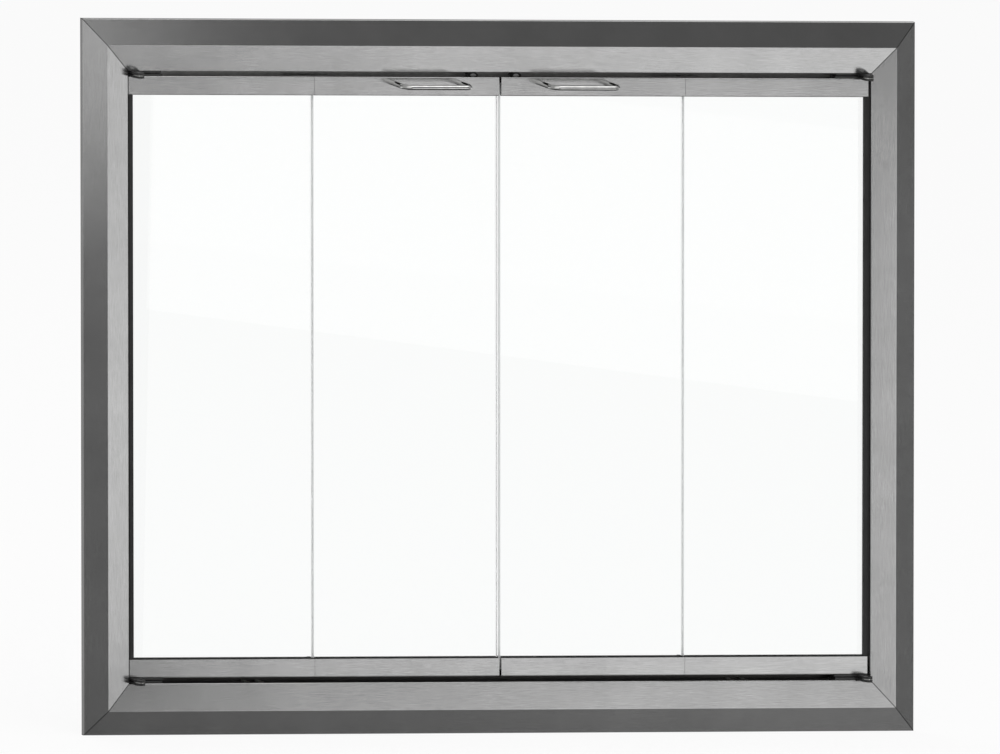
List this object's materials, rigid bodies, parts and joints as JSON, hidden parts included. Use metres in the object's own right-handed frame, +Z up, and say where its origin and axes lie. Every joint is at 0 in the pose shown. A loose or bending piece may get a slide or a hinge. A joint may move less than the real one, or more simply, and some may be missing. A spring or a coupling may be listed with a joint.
{
  "type": "fireplace glass door",
  "caption": "Mitred steel fireplace surround with two bi-fold pairs of clear glass panels, bow handles, corner pivots and magnetic catches.",
  "frame": {"origin": "middle of the surround's bottom edge, on the wall plane", "axes": "+X to the right, +Y into the firebox, +Z up"},
  "size_m": [1.2, 0.0992, 0.89],
  "materials": {
    "surround_steel": "brushed and burnished",
    "rail_steel": "brushed",
    "handle_steel": "polished satin",
    "glass": "clear tempered",
    "gasket": "matt",
    "black_paint": "matt black",
    "black_hardware": "satin black",
    "stop_steel": "plain, satin",
    "bush_steel": "bright zinc plated",
    "catch_cup": "satin black",
    "magnet": "nickel plated",
    "zinc_plate": "zinc plated",
    "screw_steel": "plated"
  },
  "bodies": {
    "surround": {"frame_head": "surround_steel", "frame_sill": "surround_steel", "frame_left_jamb": "surround_steel", "frame_right_jamb": "surround_steel", "head_liner": "black_paint", "sill_liner": "black_paint", "left_jamb_liner": "black_paint", "right_jamb_liner": "black_paint", "head_stop": "stop_steel", "sill_stop": "stop_steel", "corner_gussets": "zinc_plate", "gusset_screws": "screw_steel", "left_pivot_brackets": "black_hardware", "right_pivot_brackets": "black_hardware", "pivot_pins": "screw_steel", "pivot_bracket_screws": "screw_steel", "catch_cups": "catch_cup", "catch_magnets": "magnet", "catch_screws": "screw_steel", "lintel_brackets": "zinc_plate", "hearth_brackets": "zinc_plate", "fixing_rivets": "screw_steel"},
    "left_outer": {"left_outer_glass": "glass", "left_outer_top_rail": "rail_steel", "left_outer_bottom_rail": "rail_steel", "left_outer_gaskets": "gasket", "left_edge_stile": "black_paint", "left_pivot_straps": "black_hardware", "left_pivot_bushes": "bush_steel", "left_strap_screws": "screw_steel", "left_outer_hinge_leaves": "black_hardware", "left_fold_pins": "screw_steel", "left_outer_hinge_rivets": "screw_steel"},
    "left_inner": {"left_inner_glass": "glass", "left_inner_top_rail": "rail_steel", "left_inner_bottom_rail": "rail_steel", "left_inner_gaskets": "gasket", "left_inner_hinge_leaves": "black_hardware", "left_inner_hinge_rivets": "screw_steel", "left_handle": "handle_steel", "left_handle_screws": "screw_steel"},
    "right_outer": {"right_outer_glass": "glass", "right_outer_top_rail": "rail_steel", "right_outer_bottom_rail": "rail_steel", "right_outer_gaskets": "gasket", "right_edge_stile": "black_paint", "right_pivot_straps": "black_hardware", "right_pivot_bushes": "bush_steel", "right_strap_screws": "screw_steel", "right_outer_hinge_leaves": "black_hardware", "right_fold_pins": "screw_steel", "right_outer_hinge_rivets": "screw_steel"},
    "right_inner": {"right_inner_glass": "glass", "right_inner_top_rail": "rail_steel", "right_inner_bottom_rail": "rail_steel", "right_inner_gaskets": "gasket", "right_inner_hinge_leaves": "black_hardware", "right_inner_hinge_rivets": "screw_steel", "right_handle": "handle_steel", "right_handle_screws": "screw_steel"}
  },
  "joints": [
    {"name": "left_open", "type": "hinge", "parent": "surround", "child": "left_outer", "pos_m": [-0.5255, -0.013, 0.445], "axis": [0, 0, -1], "range_deg": [0, 180]},
    {"name": "left_fold", "type": "hinge", "parent": "left_outer", "child": "left_inner", "pos_m": [-0.2673, 0.012, 0.445], "axis": [0, 0, -1], "range_deg": [-180, 0]},
    {"name": "right_open", "type": "hinge", "parent": "surround", "child": "right_outer", "pos_m": [0.5255, -0.013, 0.445], "axis": [0, 0, 1], "range_deg": [0, 180]},
    {"name": "right_fold", "type": "hinge", "parent": "right_outer", "child": "right_inner", "pos_m": [0.2673, 0.012, 0.445], "axis": [0, 0, 1], "range_deg": [-180, 0]}
  ],
  "couplings": [
    {"joint": "left_fold", "follows": "left_open", "ratio": -1},
    {"joint": "right_fold", "follows": "right_open", "ratio": -1}
  ]
}
